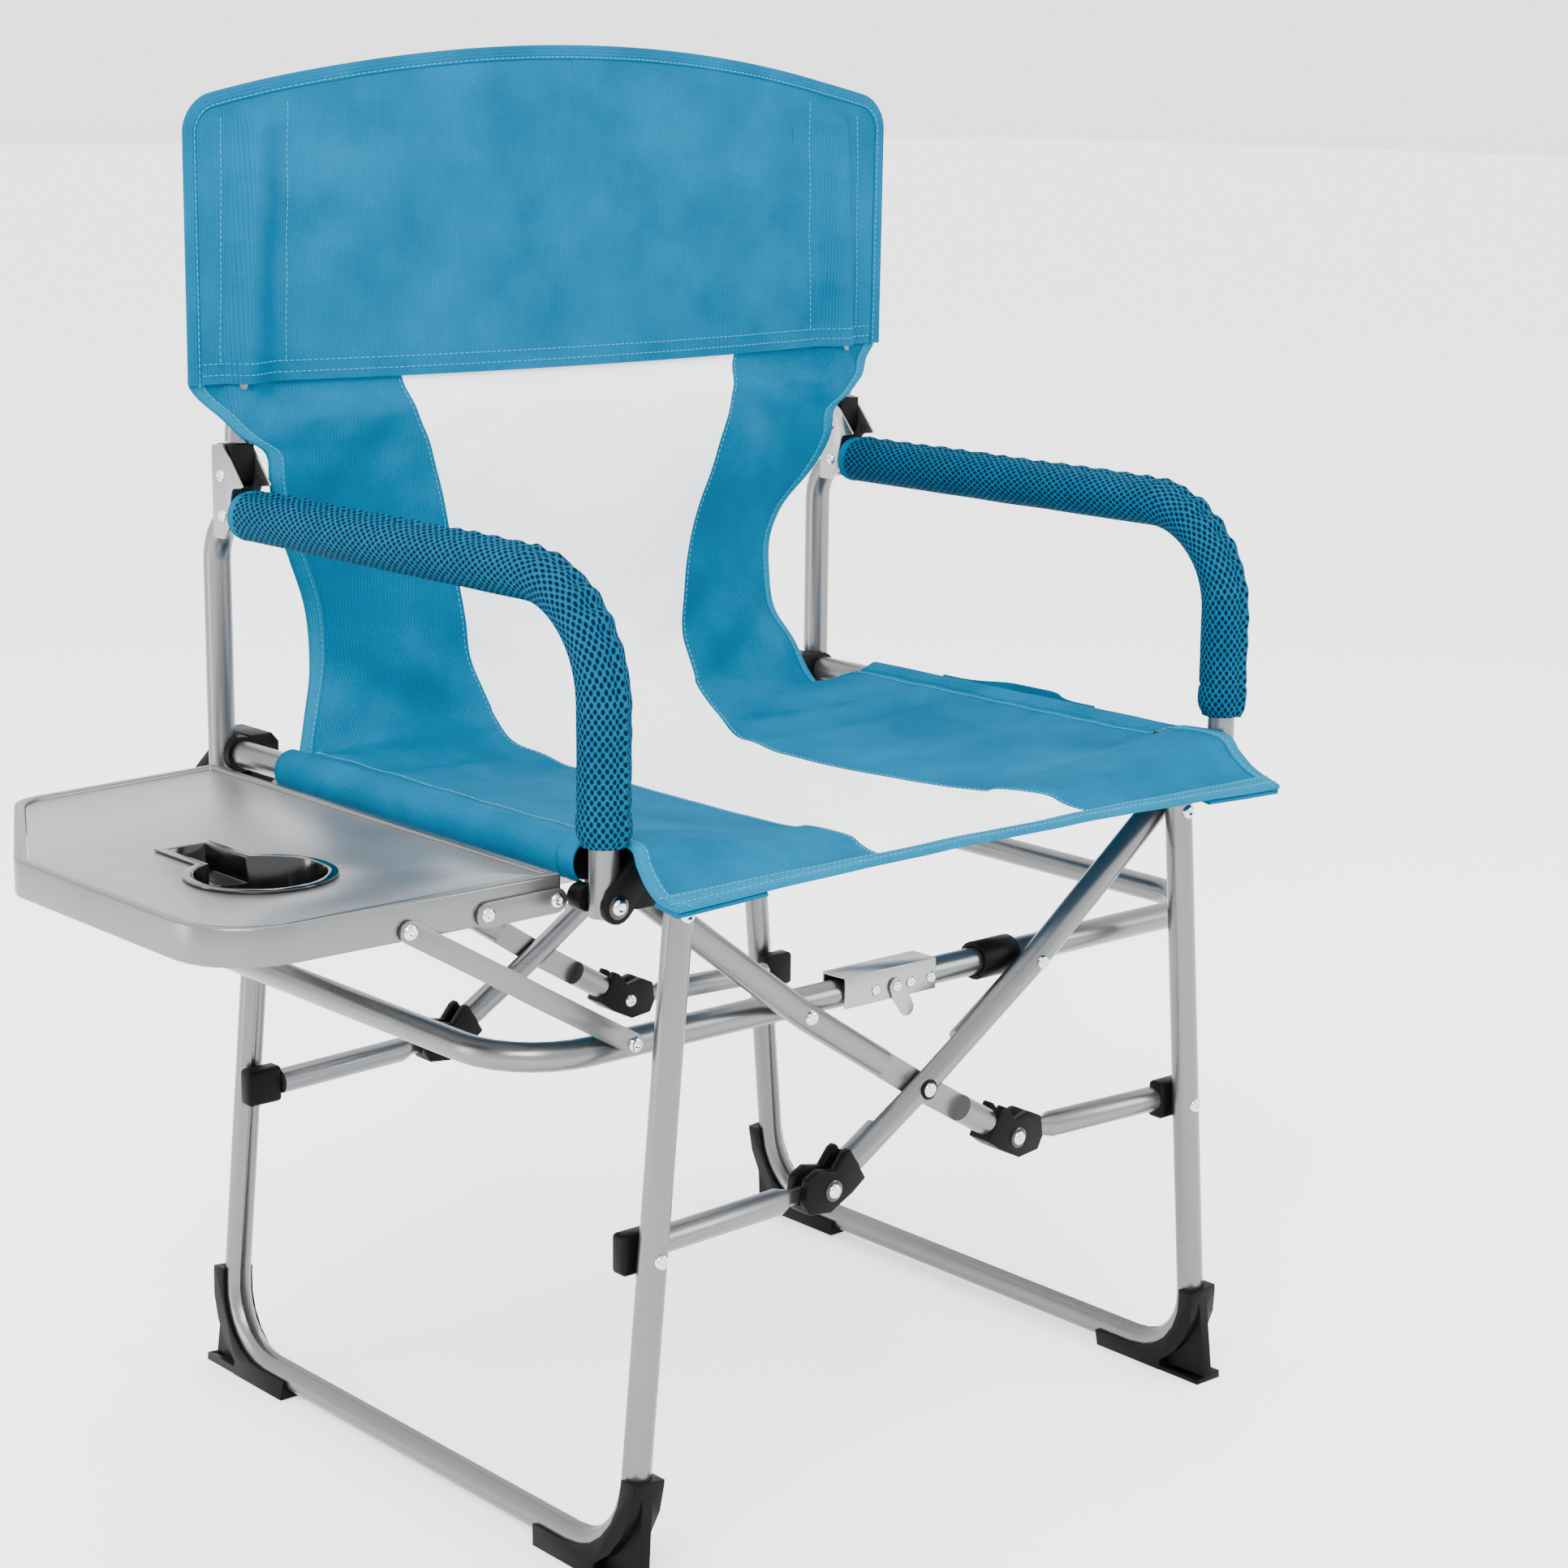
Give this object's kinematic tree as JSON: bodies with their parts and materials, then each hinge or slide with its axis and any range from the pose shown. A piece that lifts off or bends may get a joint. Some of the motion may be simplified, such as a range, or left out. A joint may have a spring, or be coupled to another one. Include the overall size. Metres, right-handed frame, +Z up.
{
  "type": "director chair",
  "caption": "Folding director chair with a padded tubular frame, fabric seat and back, and a side table with a cup holder; it folds flat sideways.",
  "frame": {"origin": "on the floor under the middle of the seat", "axes": "+X to the viewer's right when facing the chair (the table is at -X), +Y to the back, +Z up"},
  "size_m": [0.8545, 0.5353, 0.946],
  "materials": {
    "silver_steel": "satin silver powder coat",
    "zinc_plate": "satin",
    "black_plastic": "fine texture",
    "table_sheet": "satin",
    "blue_canvas": "woven",
    "blue_mesh": "knit over foam"
  },
  "bodies": {
    "legs_right": {"leg_frame_right": "silver_steel", "shoe_front_right": "black_plastic", "shoe_rear_right": "black_plastic"},
    "legs_left": {"leg_frame_left": "silver_steel", "shoe_front_left": "black_plastic", "shoe_rear_left": "black_plastic"},
    "top_right": {"cross_tube_front_right": "silver_steel", "cross_tube_rear_right": "silver_steel", "clevis_front_left": "black_plastic", "clevis_rear_left": "black_plastic", "seat_rail_right": "silver_steel", "corner_fitting_front_right": "black_plastic", "corner_fitting_rear_right": "black_plastic", "seat_cover_right": "blue_canvas"},
    "top_left": {"cross_tube_front_left": "silver_steel", "cross_tube_rear_left": "silver_steel", "clevis_front_right": "black_plastic", "clevis_rear_right": "black_plastic", "seat_rail_left": "silver_steel", "corner_fitting_front_left": "black_plastic", "corner_fitting_rear_left": "black_plastic", "seat_cover_left": "blue_canvas"},
    "struts_left": {"strut_front_left": "silver_steel", "strut_rear_left": "silver_steel", "strut_bracket_front_left": "black_plastic", "strut_bracket_rear_left": "black_plastic"},
    "struts_right": {"strut_front_right": "silver_steel", "strut_rear_right": "silver_steel", "strut_bracket_front_right": "black_plastic", "strut_bracket_rear_right": "black_plastic"},
    "brace_left": {"brace_left": "silver_steel", "knuckle_sleeve_front": "zinc_plate", "knuckle_sleeve_rear": "zinc_plate", "brace_clip_rear": "black_plastic"},
    "brace_right": {"brace_right": "silver_steel", "brace_clip_front": "black_plastic"},
    "latch": {"latch_lever": "zinc_plate"},
    "arm_left": {"arm_tube_left": "silver_steel", "arm_pad_left": "blue_mesh", "hinge_bracket_left": "zinc_plate", "back_cover_left": "blue_canvas"},
    "arm_right": {"arm_tube_right": "silver_steel", "arm_pad_right": "blue_mesh", "hinge_bracket_right": "zinc_plate", "back_cover_right": "blue_canvas"},
    "back_left": {"back_socket_left": "black_plastic", "back_post_left": "silver_steel", "back_band_left": "blue_canvas"},
    "back_right": {"back_socket_right": "black_plastic", "back_post_right": "silver_steel", "back_band_right": "blue_canvas"},
    "table": {"table_frame": "table_sheet", "table_top": "table_sheet", "cup_holder": "black_plastic", "table_arm_front": "table_sheet", "table_arm_rear": "table_sheet", "table_block_front": "black_plastic", "table_block_rear": "black_plastic"},
    "table_stays": {"table_stay_front": "table_sheet", "table_stay_rear": "table_sheet"}
  },
  "joints": [
    {"name": "chair_fold", "type": "hinge", "parent": "legs_right", "child": "top_right", "pos_m": [0.225, 0, 0.4306], "axis": [0, -1, 0], "range_deg": [0, 39.94], "deforming": ["seat_cover_right", "seat_cover_left"]},
    {"name": "left_tops", "type": "hinge", "parent": "top_right", "child": "top_left", "pos_m": [0, 0, 0.2696], "axis": [0, -1, 0], "range_deg": [-84.02, 0]},
    {"name": "left_legs", "type": "hinge", "parent": "top_left", "child": "legs_left", "pos_m": [-0.225, 0, 0.4306], "axis": [0, -1, 0], "range_deg": [0, 39.96]},
    {"name": "left_brace", "type": "hinge", "parent": "top_left", "child": "brace_left", "pos_m": [-0.1053, 0, 0.339], "axis": [0, -1, 0], "range_deg": [0, 114.43]},
    {"name": "right_brace", "type": "hinge", "parent": "brace_left", "child": "brace_right", "pos_m": [0, 0, 0.339], "axis": [0, -1, 0], "range_deg": [-144.84, 0]},
    {"name": "latch_turn", "type": "hinge", "parent": "brace_left", "child": "latch", "pos_m": [-0.013, -0.2025, 0.339], "axis": [0, -1, 0], "range_deg": [-30, 0]},
    {"name": "left_struts", "type": "hinge", "parent": "top_right", "child": "struts_left", "pos_m": [-0.085, 0, 0.2181], "axis": [0, -1, 0], "range_deg": [-112.53, 0]},
    {"name": "right_struts", "type": "hinge", "parent": "top_left", "child": "struts_right", "pos_m": [0.085, 0, 0.2181], "axis": [0, -1, 0], "range_deg": [0, 112.53]},
    {"name": "left_arm", "type": "hinge", "parent": "top_left", "child": "arm_left", "pos_m": [-0.276, 0, 0.4435], "axis": [0, -1, 0], "range_deg": [0, 207.03], "deforming": ["back_cover_left"]},
    {"name": "right_arm", "type": "hinge", "parent": "top_right", "child": "arm_right", "pos_m": [0.276, 0, 0.4435], "axis": [0, -1, 0], "range_deg": [-207.03, 0], "deforming": ["back_cover_right"]},
    {"name": "left_back", "type": "hinge", "parent": "arm_left", "child": "back_left", "pos_m": [-0.2755, 0.1785, 0.66], "axis": [1, 0, 0], "range_deg": [0, 84.01], "deforming": ["back_band_left"]},
    {"name": "right_back", "type": "hinge", "parent": "arm_right", "child": "back_right", "pos_m": [0.2755, 0.1785, 0.66], "axis": [1, 0, 0], "range_deg": [0, 84.01], "deforming": ["back_band_right"]},
    {"name": "table_fold", "type": "hinge", "parent": "top_left", "child": "table", "pos_m": [-0.279, 0, 0.4447], "axis": [0, -1, 0], "range_deg": [0, 132.02]},
    {"name": "stay_fold", "type": "hinge", "parent": "table", "child": "table_stays", "pos_m": [-0.4036, 0, 0.443], "axis": [0, -1, 0], "range_deg": [-144.52, 0]}
  ],
  "couplings": [
    {"joint": "left_tops", "follows": "chair_fold", "ratio": -2.1032},
    {"joint": "left_legs", "follows": "chair_fold", "ratio": 1},
    {"joint": "left_brace", "follows": "chair_fold", "ratio": 2.8646},
    {"joint": "right_brace", "follows": "chair_fold", "ratio": -3.626},
    {"joint": "left_struts", "follows": "chair_fold", "ratio": -2.817},
    {"joint": "right_struts", "follows": "chair_fold", "ratio": 2.817},
    {"joint": "left_arm", "follows": "chair_fold", "ratio": 5.183},
    {"joint": "right_arm", "follows": "chair_fold", "ratio": -5.183},
    {"joint": "left_back", "follows": "chair_fold", "ratio": 2.103},
    {"joint": "right_back", "follows": "chair_fold", "ratio": 2.103},
    {"joint": "table_fold", "follows": "chair_fold", "ratio": 3.305},
    {"joint": "stay_fold", "follows": "chair_fold", "ratio": -3.618}
  ]
}
